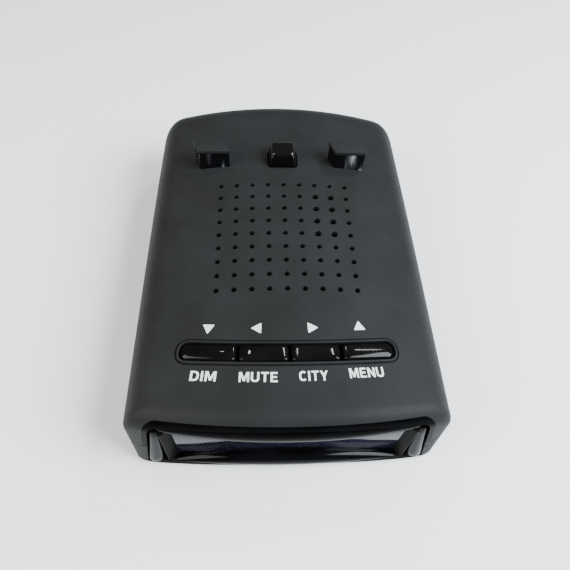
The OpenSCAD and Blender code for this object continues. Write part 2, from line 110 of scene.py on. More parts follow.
def place(side, dx, end, dy, along_x, along_y):
    """A plan point from its distance to a side and an end, or its share of the way between."""
    x = side * (HALF_W - dx)
    y = 0.0
    for _ in range(6):
        if end:
            y = end_y(x, end) - end * dy
        else:
            near = end_y(x, -1) + NEAR_R
            y = near + along_y * (end_y(x, 1) - NOSE_R - near)
        inner = half_width(y) - EDGE_R
        x = side * (half_width(y) - dx) if side else inner * (2 * along_x - 1)
    return x, y


def strip(steps):
    """Shares of a rolled edge, outermost first, closer together where it is steep."""
    return [math.sin(math.pi / 2 * (1 - k / steps)) for k in range(steps)]


def tracks(rim_steps, inner_steps):
    """Rows of the plan grid: (which end, share of the roll, share of the way along)."""
    rim = strip(rim_steps)
    rows = [(-1, s, 0.0) for s in rim]
    rows += [(0, 0.0, k / inner_steps) for k in range(inner_steps + 1)]
    rows += [(1, s, 1.0) for s in reversed(rim)]
    return rows


def case_skin(height, rim_steps=10, nx=44, ny=70):
    """Grid of points over the plan; height(x, y, share, roll) gives each one's z."""
    cols = tracks(rim_steps, nx)
    rows = tracks(rim_steps, ny)
    grid = []
    for end, t, along_y in rows:
        line = []
        for side, s, along_x in cols:
            end_r, power = (NOSE_R, NOSE_SQUARENESS) if end > 0 else (NEAR_R, NEAR_SQUARENESS)
            share = max(s, t)
            pull = share / (s**power + t**power) ** (1 / power) if share else 0.0
            a, b = s * pull, t * pull
            x, y = place(side, EDGE_R * (1 - a), end, end_r * (1 - b), along_x, along_y)
            roll = (EDGE_R * a * a + end_r * b * b) / (a * a + b * b) if share else EDGE_R
            line.append(Vector((x, y, height(x, y, share, roll))))
        grid.append(line)
    return grid


def near_lean(point):
    """The near end leans out towards the driver below the lid's roll."""
    reach = max(0.0, 1 - (point.y - NEAR_Y) / 14.0)
    across = min(1.0, abs(point.x) / 31.0) ** 2
    return 0.11 * (LEAN_FROM_Z - point.z) * min(1.0, reach) * across


def lid_height(x, y, share, roll):
    return crown(x) - roll * (1 - math.sqrt(max(0.0, 1 - share * share)))


def base_height(x, y, share, roll):
    inset = (1 - share) * roll
    if inset >= BASE_R:
        return FLOOR_Z
    return FLOOR_Z + BASE_R - math.sqrt(BASE_R**2 - (BASE_R - inset) ** 2)


def on_lid(x, y):
    """Height of the lid away from its rolled edges."""
    return crown(x)


# ---------------------------------------------------------------- mesh tools


def finish_mesh(name, bm, smooth=True, crease=32.0, merge=True):
    """Turns a millimetre bmesh into an object in metres."""
    if merge:
        bmesh.ops.remove_doubles(bm, verts=bm.verts, dist=1e-4)
    bmesh.ops.recalc_face_normals(bm, faces=bm.faces)
    bmesh.ops.scale(bm, vec=(MM, MM, MM), verts=bm.verts)
    mesh = bpy.data.meshes.new(name)
    bm.to_mesh(mesh)
    bm.free()
    for p in mesh.polygons:
        p.use_smooth = smooth
    if smooth:
        mesh.set_sharp_from_angle(angle=math.radians(crease))
    thing = bpy.data.objects.new(name, mesh)
    bpy.context.scene.collection.objects.link(thing)
    return thing


def add_grid(bm, grid, close_u=False, close_v=False):
    """Quads over a grid of points, given as rows."""
    verts = [[bm.verts.new(p) for p in row] for row in grid]
    rows, cols = len(grid), len(grid[0])
    for j in range(rows if close_v else rows - 1):
        for i in range(cols if close_u else cols - 1):
            j2, i2 = (j + 1) % rows, (i + 1) % cols
            bm.faces.new((verts[j][i], verts[j][i2], verts[j2][i2], verts[j2][i]))
    return verts


def add_box(bm, low, high, bevel=0.0, steps=2):
    """A box between two corners, with rounded edges."""
    made = bmesh.ops.create_cube(bm, size=1.0)["verts"]
    low, high = Vector(low), Vector(high)
    for v in made:
        v.co = Vector([low[k] + (v.co[k] + 0.5) * (high[k] - low[k]) for k in range(3)])
    if bevel:
        edges = list({e for v in made for e in v.link_edges})
        bmesh.ops.bevel(bm, geom=edges, offset=bevel, segments=steps, profile=0.5, affect="EDGES")


def add_lathe(bm, profile, centre=(0, 0, 0), axis="Z", steps=32):
    """Spins (radius, height) points about an upright or sideways axis."""
    turn = Matrix.Rotation(math.pi / 2, 4, "Y") if axis == "X" else Matrix()
    place_at = Matrix.Translation(Vector(centre)) @ turn
    grid = []
    for r, h in profile:
        ring = []
        for k in range(steps):
            a = 2 * math.pi * k / steps
            ring.append(place_at @ Vector((max(r, 1e-5) * math.cos(a), max(r, 1e-5) * math.sin(a), h)))
        grid.append(ring)
    add_grid(bm, grid, close_u=True)


def add_prism(bm, outline, z0, z1, bevel=0.0, steps=3):
    """An upright prism over a plan outline, its edges rounded by bevel."""
    low = [bm.verts.new((x, y, z0)) for x, y in outline]
    high = [bm.verts.new((x, y, z1)) for x, y in outline]
    count = len(outline)
    bm.faces.new(list(reversed(low)))
    bm.faces.new(high)
    for k in range(count):
        bm.faces.new((low[k], low[(k + 1) % count], high[(k + 1) % count], high[k]))
    if bevel:
        rims = {e for end in (low, high) for v in end for e in v.link_edges if e.other_vert(v) in end}
        bmesh.ops.bevel(bm, geom=list(rims), offset=bevel, segments=steps, profile=0.5, affect="EDGES")


def round_outline(corners, radius, steps=6):
    """A closed outline with each corner rounded; radius is one number or one for each corner."""
    points = []
    count = len(corners)
    for k in range(count):
        r = radius[k] if isinstance(radius, (list, tuple)) else radius
        here = Vector(corners[k])
        to_last = (Vector(corners[k - 1]) - here).normalized()
        to_next = (Vector(corners[(k + 1) % count]) - here).normalized()
        half = to_last.angle(to_next) / 2
        reach = r / math.tan(half)
        centre = here + (to_last + to_next).normalized() * (r / math.sin(half))
        start = here + to_last * reach - centre
        swing = math.pi - 2 * half
        turn = 1 if to_last.x * to_next.y - to_last.y * to_next.x < 0 else -1
        for s in range(steps + 1):
            a = turn * swing * s / steps
            c, n = math.cos(a), math.sin(a)
            points.append((centre.x + start.x * c - start.y * n, centre.y + start.x * n + start.y * c))
    return points


def cut(thing, *tools, operation="DIFFERENCE"):
    """Takes the tools' volumes out of a piece, or keeps only what they share, and deletes the tools."""
    for tool in tools:
        mod = thing.modifiers.new("cut", "BOOLEAN")
        mod.operation = operation
        mod.solver = "EXACT"
        mod.object = tool
    settle(thing)
    for tool in tools:
        bpy.data.objects.remove(tool)


def settle(thing):
    """Applies a piece's modifiers."""
    graph = bpy.context.evaluated_depsgraph_get()
    mesh = bpy.data.meshes.new_from_object(thing.evaluated_get(graph))
    mesh.name = thing.name
    thing.modifiers.clear()
    thing.data = mesh


def soften(thing, crease=32.0):
    """Smooth shading that keeps real edges and lets large faces set the normals."""
    for p in thing.data.polygons:
        p.use_smooth = True
    thing.data.set_sharp_from_angle(angle=math.radians(crease))
    mod = thing.modifiers.new("even", "WEIGHTED_NORMAL")
    mod.keep_sharp = True
    mod.weight = 80
    settle(thing)


def give(thing, material, body, stands_for=()):
    """Dresses a piece and fixes it to a body."""
    thing.data.materials.clear()
    thing.data.materials.append(material)
    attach(thing, body)
    if stands_for:
        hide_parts(*stands_for)
    return thing


# ---------------------------------------------------------------- repeats


def spread_tree():
    """Geometry Nodes: a stamp set out in a grid, realized, with its finish."""
    tree = bpy.data.node_groups.new("Set out in a grid", "GeometryNodeTree")
    face = tree.interface
    face.new_socket("Stamp", in_out="INPUT", socket_type="NodeSocketGeometry")
    for name in ("Columns", "Rows"):
        face.new_socket(name, in_out="INPUT", socket_type="NodeSocketInt")
    for name in ("Width", "Depth", "Centre X", "Centre Y", "Height"):
        face.new_socket(name, in_out="INPUT", socket_type="NodeSocketFloat")
    face.new_socket("Finish", in_out="INPUT", socket_type="NodeSocketMaterial")
    face.new_socket("Geometry", in_out="OUTPUT", socket_type="NodeSocketGeometry")
    n, link = tree.nodes, tree.links
    given = n.new("NodeGroupInput")
    out = n.new("NodeGroupOutput")
    grid = n.new("GeometryNodeMeshGrid")
    link.new(given.outputs["Width"], grid.inputs["Size X"])
    link.new(given.outputs["Depth"], grid.inputs["Size Y"])
    link.new(given.outputs["Columns"], grid.inputs["Vertices X"])
    link.new(given.outputs["Rows"], grid.inputs["Vertices Y"])
    shift = n.new("ShaderNodeCombineXYZ")
    for k, name in enumerate(("Centre X", "Centre Y", "Height")):
        link.new(given.outputs[name], shift.inputs[k])
    move = n.new("GeometryNodeTransform")
    link.new(grid.outputs["Mesh"], move.inputs["Geometry"])
    link.new(shift.outputs[0], move.inputs["Translation"])
    stamp = n.new("GeometryNodeInstanceOnPoints")
    link.new(move.outputs[0], stamp.inputs["Points"])
    link.new(given.outputs["Stamp"], stamp.inputs["Instance"])
    real = n.new("GeometryNodeRealizeInstances")
    link.new(stamp.outputs[0], real.inputs[0])
    finish = n.new("GeometryNodeSetMaterial")
    link.new(real.outputs[0], finish.inputs["Geometry"])
    link.new(given.outputs["Finish"], finish.inputs["Material"])
    link.new(finish.outputs[0], out.inputs[0])
    return tree


SPREAD = spread_tree()


def spread(stamp, material, columns, rows, gap_x, gap_y, centre, height=0.0):
    """Sets a millimetre-built stamp object out in a grid about a centre."""
    mod = stamp.modifiers.new("spread", "NODES")
    mod.node_group = SPREAD
    values = {
        "Columns": columns, "Rows": rows,
        "Width": (columns - 1) * gap_x * MM, "Depth": (rows - 1) * gap_y * MM,
        "Centre X": centre[0] * MM, "Centre Y": centre[1] * MM, "Height": height * MM,
        "Finish": material,
    }
    for item in SPREAD.interface.items_tree:
        if item.in_out == "INPUT" and item.name in values:
            mod[item.identifier] = values[item.name]
    settle(stamp)
    return stamp


# ---------------------------------------------------------------- finishes


class Finish:
    """A Principled material with its texture nodes in Object coordinates."""

    def __init__(self, name):
        self.made = bpy.data.materials.new(name)
        self.made.use_nodes = True
        self.nodes = self.made.node_tree.nodes
        self.link = self.made.node_tree.links.new
        self.shader = self.nodes["Principled BSDF"]
        self.where = self.nodes.new("ShaderNodeTexCoord").outputs["Object"]

    def put(self, **values):
        for name, value in values.items():
            self.shader.inputs[name.replace("_", " ")].default_value = value
        return self

    def noise(self, scale, detail=4.0, rough=0.55, squeeze=None):
        node = self.nodes.new("ShaderNodeTexNoise")
        node.inputs["Scale"].default_value = scale
        node.inputs["Detail"].default_value = detail
        node.inputs["Roughness"].default_value = rough
        source = self.where
        if squeeze:
            source = self.mapped(squeeze)
        self.link(source, node.inputs["Vector"])
        return node.outputs["Fac"]

    def mapped(self, scale=(1, 1, 1), turn=(0, 0, 0)):
        node = self.nodes.new("ShaderNodeMapping")
        node.inputs["Scale"].default_value = scale
        node.inputs["Rotation"].default_value = turn
        self.link(self.where, node.inputs["Vector"])
        return node.outputs[0]

    def bricks(self, scale, mortar, source):
        node = self.nodes.new("ShaderNodeTexBrick")
        node.inputs["Scale"].default_value = scale
        node.inputs["Mortar Size"].default_value = mortar
        self.link(source, node.inputs["Vector"])
        return node

    def ramp(self, value, *stops, hard=False):
        node = self.nodes.new("ShaderNodeValToRGB")
        bar = node.color_ramp
        if hard:
            bar.interpolation = "CONSTANT"
        while len(bar.elements) < len(stops):
            bar.elements.new(0.5)
        for element, (at, colour) in zip(bar.elements, stops):
            element.position = at
            element.color = (*colour, 1.0)
        self.link(value, node.inputs[0])
        return node.outputs[0]

    def between(self, value, low, high, start=0.35, stop=0.65):
        node = self.nodes.new("ShaderNodeMapRange")
        node.inputs["From Min"].default_value = start
        node.inputs["From Max"].default_value = stop
        node.inputs["To Min"].default_value = low
        node.inputs["To Max"].default_value = high
        self.link(value, node.inputs["Value"])
        return node.outputs[0]

    def mix(self, share, first, second):
        node = self.nodes.new("ShaderNodeMix")
        node.data_type = "RGBA"
        self.link(share, node.inputs[0])
        for socket, value in ((node.inputs[6], first), (node.inputs[7], second)):
            if isinstance(value, tuple):
                socket.default_value = (*value, 1.0)
            else:
                self.link(value, socket)
        return node.outputs[2]

    def colour(self, value):
        self.link(value, self.shader.inputs["Base Color"])
        return self

    def rough(self, value):
        self.link(value, self.shader.inputs["Roughness"])
        return self

    def bump(self, value, strength=0.2, depth=0.05):
        node = self.nodes.new("ShaderNodeBump")
        node.inputs["Strength"].default_value = strength
        node.inputs["Distance"].default_value = depth * MM
        self.link(value, node.inputs["Height"])
        self.link(node.outputs[0], self.shader.inputs["Normal"])
        return self


def moulded(name, dark, light, rough=(0.5, 0.62), grain=2600.0, strength=0.25, depth=0.02):
    """Moulded plastic: clouded colour, uneven gloss and a fine spark-eroded grain."""
    f = Finish(name)
    cloud = f.noise(85.0, 5.0)
    fine = f.noise(grain, 2.0, 0.6)
    f.colour(f.ramp(cloud, (0.3, dark), (0.72, light)))
    f.rough(f.between(fine, *rough))
    return f.bump(fine, strength, depth)


def piano_black(name="Piano black", tint=(0.0015, 0.0015, 0.0018), ior=1.17):
    f = Finish(name)
    smear = f.noise(120.0, 6.0, 0.6, (1.0, 2.4, 1.0))
    hair = f.noise(900.0, 2.0, 0.5, (14.0, 1.0, 1.0))
    f.colour(f.ramp(smear, (0.35, tint), (0.75, tuple(c * 2.2 for c in tint))))
    f.rough(f.between(smear, 0.045, 0.12))
    f.bump(hair, 0.02, 0.004)
    return f.put(IOR=ior).made


def smoked(name, dark, light, alpha, rough=(0.03, 0.07)):
    f = Finish(name)
    cloud = f.noise(40.0, 3.0)
    f.colour(f.ramp(cloud, (0.3, dark), (0.7, light)))
    f.rough(f.between(f.noise(150.0, 5.0), *rough))
    f.bump(f.noise(26.0, 2.0), 0.03, 0.03)
    return f.put(Alpha=alpha, IOR=1.2).made


def clear_block(name, tint):
    f = Finish(name)
    swirl = f.noise(260.0, 3.0)
    f.colour(f.ramp(swirl, (0.25, tuple(c * 0.8 for c in tint)), (0.75, tint)))
    f.rough(f.between(swirl, 0.02, 0.06))
    f.bump(swirl, 0.03, 0.02)
    return f.put(Transmission_Weight=0.92, IOR=1.49, Specular_IOR_Level=0.55).made


def painted_glint_block(name):
    """Smoky glass with painted pale upright streaks: painted reflections, as light makes in a faceted lens.
    """
    f = Finish(name)
    streak = f.noise(420.0, 2.0, 0.5, squeeze=(1.0, 1.0, 0.12))
    dark, smoke, pale = (0.004, 0.004, 0.005), (0.03, 0.031, 0.034), (0.42, 0.42, 0.44)
    # Painted reflection: the pale stop paints upright streaks of reflected light into the glass's colour.
    f.colour(f.ramp(streak, (0.5, dark), (0.57, smoke), (0.66, pale)))
    f.rough(f.between(streak, 0.02, 0.1))
    f.bump(streak, 0.12, 0.1)
    return f.put(Transmission_Weight=0.35, IOR=1.42).made


def sheet_metal(name, dark, light, rough=(0.24, 0.4), along=(1.0, 30.0, 1.0)):
    f = Finish(name)
    lines = f.noise(500.0, 3.0, 0.6, along)
    cloud = f.noise(110.0, 4.0)
    f.colour(f.mix(cloud, f.ramp(lines, (0.3, dark), (0.7, light)), light))
    f.rough(f.between(lines, *rough))
    f.bump(lines, 0.12, 0.01)
    return f.put(Metallic=1.0).made


def cast_metal(name, dark, light):
    f = Finish(name)
    pits = f.noise(1100.0, 5.0, 0.7)
    f.colour(f.ramp(f.noise(160.0, 4.0), (0.3, dark), (0.7, light)))
    f.rough(f.between(pits, 0.38, 0.6))
    f.bump(pits, 0.5, 0.04)
    return f.put(Metallic=1.0).made


def board_green():
    """Solder mask over copper tracks, with tinned pads."""
    f = Finish("Circuit board")
    brick = f.bricks(190.0, 0.03, f.where)
    dots = f.nodes.new("ShaderNodeTexVoronoi")
    dots.inputs["Scale"].default_value = 420.0
    f.link(f.where, dots.inputs["Vector"])
    pad = f.ramp(dots.outputs["Distance"], (0.0, (1, 1, 1)), (0.16, (0, 0, 0)), hard=True)
    tracks_on = f.ramp(brick.outputs["Fac"], (0.0, (0, 0, 0)), (0.5, (1, 1, 1)))
    mask = f.mix(tracks_on, (0.012, 0.075, 0.03), (0.02, 0.12, 0.048))
    f.colour(f.mix(pad, mask, (0.55, 0.53, 0.48)))
    f.rough(f.between(f.noise(600.0), 0.22, 0.4))
    f.bump(brick.outputs["Fac"], 0.2, 0.03)
    return f.put(Specular_IOR_Level=0.55).made


def display_face():
    """Unlit display: a dark field with faint rows of cells."""
    f = Finish("Display face")
    brick = f.bricks(1500.0, 0.06, f.mapped(turn=(math.pi / 2, 0, 0)))
    brick.offset = 0.0
    brick.inputs["Brick Width"].default_value = 0.5
    brick.inputs["Row Height"].default_value = 0.5
    f.colour(f.mix(brick.outputs["Fac"], (0.045, 0.05, 0.085), (0.018, 0.02, 0.034)))
    f.rough(f.between(f.noise(80.0), 0.08, 0.16))
    return f.made


def paper_label():
    """Blank rating plate: dull foil with ruled lines."""
    f = Finish("Rating plate")
    wave = f.nodes.new("ShaderNodeTexWave")
    wave.bands_direction = "Y"
    wave.inputs["Scale"].default_value = 95.0
    wave.inputs["Distortion"].default_value = 0.0
    f.link(f.where, wave.inputs["Vector"])
    rule = f.ramp(wave.outputs["Fac"], (0.0, (1, 1, 1)), (0.12, (0, 0, 0)), hard=True)
    f.colour(f.mix(rule, (0.075, 0.078, 0.08), (0.3, 0.3, 0.3)))
    f.rough(f.between(f.noise(900.0), 0.35, 0.5))
    f.bump(f.noise(700.0), 0.08, 0.01)
    return f.made


def rubber(name="Foot rubber"):
    f = moulded(name, (0.012, 0.012, 0.012), (0.024, 0.024, 0.025), (0.72, 0.9), 1300.0, 0.5, 0.06)
    return f.put(Specular_IOR_Level=0.3).made


def fibre(name, dark, light):
    f = Finish(name)
    hairs = f.noise(1400.0, 6.0, 0.7, (1.0, 1.0, 4.0))
    f.colour(f.ramp(hairs, (0.3, dark), (0.7, light)))
    f.rough(f.between(hairs, 0.7, 0.92))
    f.bump(hairs, 0.5, 0.05)
    return f.made


# Gloss stays low on the blacks, so that they do not mirror the pale floor.
CASE_GLOSS = 1.2
SOFT = moulded(
    "Soft-touch black", (0.0105, 0.0108, 0.0108), (0.0150, 0.0155, 0.0162), (0.5, 0.64)
).put(IOR=CASE_GLOSS).made
SILL = moulded(
    "Textured black base", (0.0085, 0.0087, 0.009), (0.0135, 0.0138, 0.0145), (0.5, 0.66), 1500.0, 0.5, 0.05
).put(IOR=CASE_GLOSS).made
PIANO = piano_black()
KEY_BLACK = piano_black("Key black", (0.002, 0.0019, 0.0018), 1.22)
POST = moulded(
    "Satin black post", (0.004, 0.004, 0.0044), (0.007, 0.0074, 0.0078), (0.17, 0.22), 3200.0, 0.12
).put(IOR=1.14).made
BROW = piano_black("Brow black", (0.0012, 0.0012, 0.0014), 1.06)
LENS = piano_black("Lens black", (0.001, 0.001, 0.0008), 1.42)
WING = moulded("Dark wing", (0.004, 0.004, 0.004), (0.008, 0.008, 0.0075), (0.3, 0.45)).put(IOR=1.06).made
WINDOW = smoked("Smoked window", (0.010, 0.0105, 0.019), (0.016, 0.017, 0.03), 0.86)
NOSE = smoked("Nose window", (0.006, 0.004, 0.005), (0.014, 0.008, 0.009), 1.0, (0.05, 0.1))
CLEAR = painted_glint_block("Smoky clear block")
LED = clear_block("Clear dome", (0.86, 0.84, 0.8))
RED_LENS = clear_block("Red lens", (0.6, 0.03, 0.03))
DARK_RESIN = smoked("Dark resin", (0.012, 0.006, 0.016), (0.02, 0.01, 0.026), 1.0, (0.1, 0.2))
BOARD = board_green()
DISPLAY = display_face()
LABEL = paper_label()
RUBBER = rubber()
FOAM = rubber("Closed foam")
INK = moulded("White print", (0.62, 0.63, 0.62), (0.76, 0.77, 0.76), (0.5, 0.7), 4200.0, 0.1).made
TIN = sheet_metal("Tinned steel", (0.42, 0.42, 0.43), (0.62, 0.62, 0.63))
BRASS = sheet_metal("Plated contact", (0.55, 0.38, 0.12), (0.78, 0.6, 0.28), (0.2, 0.34))
SCREW = sheet_metal("Blackened screw", (0.035, 0.035, 0.037), (0.1, 0.1, 0.105), (0.28, 0.42), (1, 1, 1))
MAGNET = sheet_metal("Plated magnet", (0.3, 0.3, 0.32), (0.46, 0.46, 0.48), (0.18, 0.3), (1, 1, 1))
BASKET = sheet_metal("Pressed frame", (0.05, 0.05, 0.052), (0.1, 0.1, 0.105), (0.35, 0.5))
CAST = cast_metal("Die-cast horn", (0.42, 0.42, 0.43), (0.62, 0.62, 0.63))
CERAMIC = moulded("Ceramic patch", (0.46, 0.41, 0.3), (0.6, 0.55, 0.43), (0.4, 0.6), 1800.0, 0.3).made
PAPER = fibre("Doped paper cone", (0.012, 0.012, 0.013), (0.035, 0.035, 0.037))
KAPTON = moulded("Ribbon film", (0.42, 0.2, 0.03), (0.6, 0.33, 0.07), (0.2, 0.32), 700.0, 0.1).made
CHIP = moulded("Chip resin", (0.012, 0.012, 0.013), (0.028, 0.028, 0.03), (0.45, 0.62), 3000.0, 0.4).made
NYLON = moulded("Socket nylon", (0.66, 0.63, 0.55), (0.8, 0.77, 0.69), (0.4, 0.55), 1600.0, 0.15).made
SLEEVE = moulded("Capacitor sleeve", (0.02, 0.022, 0.08), (0.04, 0.045, 0.14), (0.2, 0.32), 900.0, 0.1).made
PLUNGER = moulded("Key plunger", (0.6, 0.56, 0.46), (0.78, 0.74, 0.64), (0.4, 0.55), 2000.0, 0.15).made
SOCKET = moulded("Socket black", (0.01, 0.01, 0.011), (0.024, 0.024, 0.026), (0.3, 0.45), 2200.0, 0.2).made

# CAD nodes whose own shape stays.
KEPT = {
    "front_laser_lens": RED_LENS, "lens_holder": SOFT, "front_laser_sensor": DARK_RESIN,
    "rear_laser_sensor": DARK_RESIN, "main_board": BOARD, "display_board": BOARD,
    "microwave_board": BOARD, "display_panel": DISPLAY, "display_ribbon": KAPTON,
    "horn_antenna": CAST, "microwave_shield": TIN, "gps_antenna": CERAMIC, "gps_receiver": TIN,
    "speaker_basket": BASKET, "speaker_magnet": MAGNET, "speaker_cone": PAPER,
    "speaker_gasket": FOAM, "dim_plunger": PLUNGER, "mute_plunger": PLUNGER,
    "city_plunger": PLUNGER, "menu_plunger": PLUNGER, "switch_bodies": SOCKET,
    "jack_contacts": BRASS, "usb_tongue": SOCKET, "board_screws": SCREW, "processor": CHIP,
    "logic_chips": CHIP, "capacitors": SLEEVE, "crystal": TIN, "chip_resistors": CHIP,
    "board_connectors": NYLON, "backup_cell": TIN, "rating_plate": LABEL,
}
for node, finish in KEPT.items():
    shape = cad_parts[node]
    shape = bpy.data.objects[shape] if isinstance(shape, str) else shape
    shape.data.materials.clear()
    shape.data.materials.append(finish)


# ---------------------------------------------------------------- shared shapes

KEY_R = 175.0
KEY_Y = -34.4
KEY_HW = 2.15
ROW_LOW, ROW_HIGH = -23.7, 23.1
MOUTH_HW = 29.8
MOUTH_SPLAY = math.radians(8)
MOUTH_DROP = 2.6
MOUTH_CORNER = 3.2
GRILLE_PITCH = 4.1
GRILLE_Y = -1.6
GRILLE_COUNT = 9
MOUTH_BACK = -44.9
LIGHT_SHEAR = 0.4
left_hood, right_hood = middle("left_alert_hood"), middle("right_alert_hood")
LIGHT_X = (right_hood.x - left_hood.x) / 2
LIGHT_MID = -(right_hood.x + left_hood.x) / 2 / LIGHT_SHEAR
LIGHT_Y = right_hood.y - LIGHT_MID
HOOD_LOW, HOOD_TOP = (corner.z for corner in span("right_alert_hood"))
LENS_Y = middle("rear_laser_lens").y
LENS_LOW, LENS_TOP = (corner.z for corner in span("rear_laser_lens"))
LEDGE_HW = span("display_ledge")[1].x - 0.05
LEDGE_Y = NEAR_Y - 0.3
glass_low, glass_high = span("display_window")
nose_low, nose_high = span("nose_window")
plate_low, plate_high = span("rating_plate")
FOOT_R = 4.5
FOOT_X, FOOT_Y, _ = span("rubber_feet")[1] - Vector((FOOT_R, FOOT_R, 0))
SCREW_R = 2.5
screw_low, screw_high = span("case_screws")
SCREW_X = screw_high.x - SCREW_R
SCREW_YS = (screw_low.y + SCREW_R, screw_high.y - SCREW_R)
SOCKET_Y = middle("jack_housing").y
PORT_Y = middle("usb_shell").y
SIDE_Z = middle("usb_shell").z


def add_loft(bm, rings, caps=(True, True)):
    """Skins a run of closed rings and closes its two ends."""
    verts = add_grid(bm, rings, close_u=True)
    if caps[0]:
        bm.faces.new(list(reversed(verts[0])))
    if caps[1]:
        bm.faces.new(verts[-1])
    return verts


def key_point(u, v):
    """Plan point u along the arched key row and v across it."""
    a = u / KEY_R
    return (KEY_R - v) * math.sin(a), KEY_Y + KEY_R - (KEY_R - v) * math.cos(a)


def slot_ring(u0, u1, hw, r0, r1, steps=6, along=12):
    """A rounded outline on the arched key row, always with the same number of points."""
    points = []
    for u, v, r, start, run in (
        (u1, -hw, r1, -90, 0), (u1, hw, r1, 0, along), (u0, hw, r0, 90, 0), (u0, -hw, r0, 180, along),
    ):
        cu, cv = (u - r if u == u1 else u + r), (v + r if v < 0 else v - r)
        for k in range(steps + 1):
            a = math.radians(start + 90 * k / steps)
            points.append((cu + r * math.cos(a), cv + r * math.sin(a)))
        if run:
            left, right = u0 + r0, u1 - r1
            for k in range(1, run):
                share = k / run
                points.append((right + (left - right) * share if v > 0 else left + (right - left) * share, v))
    return [key_point(u, v) for u, v in points]


def row_ring(out):
    """The key row's opening, grown by out."""
    r = 0.86 * KEY_HW + out
    return slot_ring(ROW_LOW - out, ROW_HIGH + out, KEY_HW + out, r, r, 8, 30)


def superellipse(steps, power):
    """Points (across -1 to 1, forward 0 to 1) of a rounded front."""
    points = []
    for k in range(steps + 1):
        a = math.pi * (k / steps - 0.5)
        c, s = abs(math.cos(a)), abs(math.sin(a))
        points.append((math.copysign(s ** (2 / power), a), c ** (2 / power)))
    return points


def light_outline(side, width, depth, radius):
    """Plan of a leaning light block."""
    y0 = LIGHT_MID - depth / 2
    lean = [-LIGHT_SHEAR * (y0 + t * depth) for t in (0, 1)]
    corners = [
        (-width / 2 + lean[0], y0), (width / 2 + lean[0], y0),
        (width / 2 + lean[1], y0 + depth), (-width / 2 + lean[1], y0 + depth),
    ]
    return [(side * LIGHT_X + x, LIGHT_Y + y) for x, y in round_outline(corners, radius, 4)]


def box_ring(hx, hy, r, z, cx=0.0, cy=0.0):
    corners = [(-hx, -hy), (hx, -hy), (hx, hy), (-hx, hy)]
    return [Vector((cx + x, cy + y, z)) for x, y in round_outline(corners, r, 5)]


def end_ring(hx, z0, z1, r, y, steps=6):
    """A rounded upright outline, for openings in the ends."""
    corners = [(-hx, z0), (hx, z0), (hx, z1), (-hx, z1)]
    return [Vector((x, y, z)) for x, z in round_outline(corners, r, steps)]


def mouth_line(top_steps=28, corner_steps=8, foot_z=3.2, inset=0.0):
    """The display mouth's edge: (x, z, outward x, outward z, leg share) from one foot to the other."""
    top_r = CROWN_R - MOUTH_DROP - inset
    r = MOUTH_CORNER - inset
    low = CROWN_Z - CROWN_R
    cx = MOUTH_HW - MOUTH_CORNER
    cz = low + math.sqrt((top_r - r) ** 2 - cx * cx)
    tilt = math.asin(cx / (top_r - r))
    out, rise = math.cos(MOUTH_SPLAY), math.sin(MOUTH_SPLAY)
    drop = (cz + r * rise - foot_z) / out
    half = []
    for k in range(7):
        back = drop * (1 - k / 7)
        half.append((cx + r * out + back * rise, cz + r * rise - back * out, out, rise, 1.0))
    for k in range(corner_steps):
        a = MOUTH_SPLAY + (math.pi / 2 - tilt - MOUTH_SPLAY) * k / corner_steps
        c, n = math.cos(a), math.sin(a)
        half.append((cx + r * c, cz + r * n, c, n, 1 - k / corner_steps))
    for k in range(top_steps // 2):
        a = tilt * (1 - k / (top_steps // 2))
        half.append((top_r * math.sin(a), low + top_r * math.cos(a), math.sin(a), math.cos(a), 0.0))
    other = [(-x, z, -nx, nz, leg) for x, z, nx, nz, leg in half]
    return half + [(0.0, low + top_r, 0.0, 1.0, 0.0)] + other[::-1]


def cutter(name, build):
    bm = bmesh.new()
    build(bm)
    return finish_mesh(name, bm, smooth=False)


# ---------------------------------------------------------------- lid and base


def cover(name, height, rim_z, wall=WALL):
    """One half of the case: skin, upright wall and a constant thickness."""
    bm = bmesh.new()
    add_grid(bm, case_skin(height))
    bmesh.ops.remove_doubles(bm, verts=bm.verts, dist=1e-4)
    edge = [e for e in bm.edges if e.is_boundary]
    for part in bmesh.ops.extrude_edge_only(bm, edges=edge)["geom"]:
        if isinstance(part, bmesh.types.BMVert):
            part.co.z = rim_z
    for v in bm.verts:
        if v.co.z < LEAN_FROM_Z:
            v.co.y -= near_lean(v.co)
    thing = finish_mesh(name, bm)
    mod = thing.modifiers.new("wall", "SOLIDIFY")
    mod.thickness = wall * MM
    mod.offset = -1.0
    mod.use_even_offset = True
    settle(thing)
    return thing


def mouth_prism(bm, out_top, out_leg):
    line = []
    for x, z, nx, nz, leg in mouth_line(foot_z=1.8):
        top = out_top * (1 + 0.45 * min(1.0, abs(x) / MOUTH_HW) ** 2)
        out = top + (out_leg - top) * leg
        line.append((x + nx * out, z + nz * out))
    add_loft(bm, [[Vector((x, y, z)) for x, z in line] for y in (NEAR_Y - 6, MOUTH_BACK)])


def mouth_cutter(bm):
    mouth_prism(bm, 0.0, 0.0)


def surround_cutter(bm):
    mouth_prism(bm, 1.2, 1.1)


def dimple_cutter():
    """Eighty-one blind dimples, each sunk to the same depth under the crown."""
    bm = bmesh.new()
    r = 0.66
    profile = [(0, -1.5), (r * 0.75, -1.5), (r, -1.3), (r, -0.1), (r + 0.1, 0.0), (r + 0.1, 0.9), (0, 0.9)]
    add_lathe(bm, profile, steps=14)
    stamp = finish_mesh("dimple_cutter", bm, smooth=False)
    spread(stamp, SOFT, GRILLE_COUNT, GRILLE_COUNT, GRILLE_PITCH, GRILLE_PITCH, (0, GRILLE_Y), CROWN_Z)
    follow_crown(stamp)
    return stamp


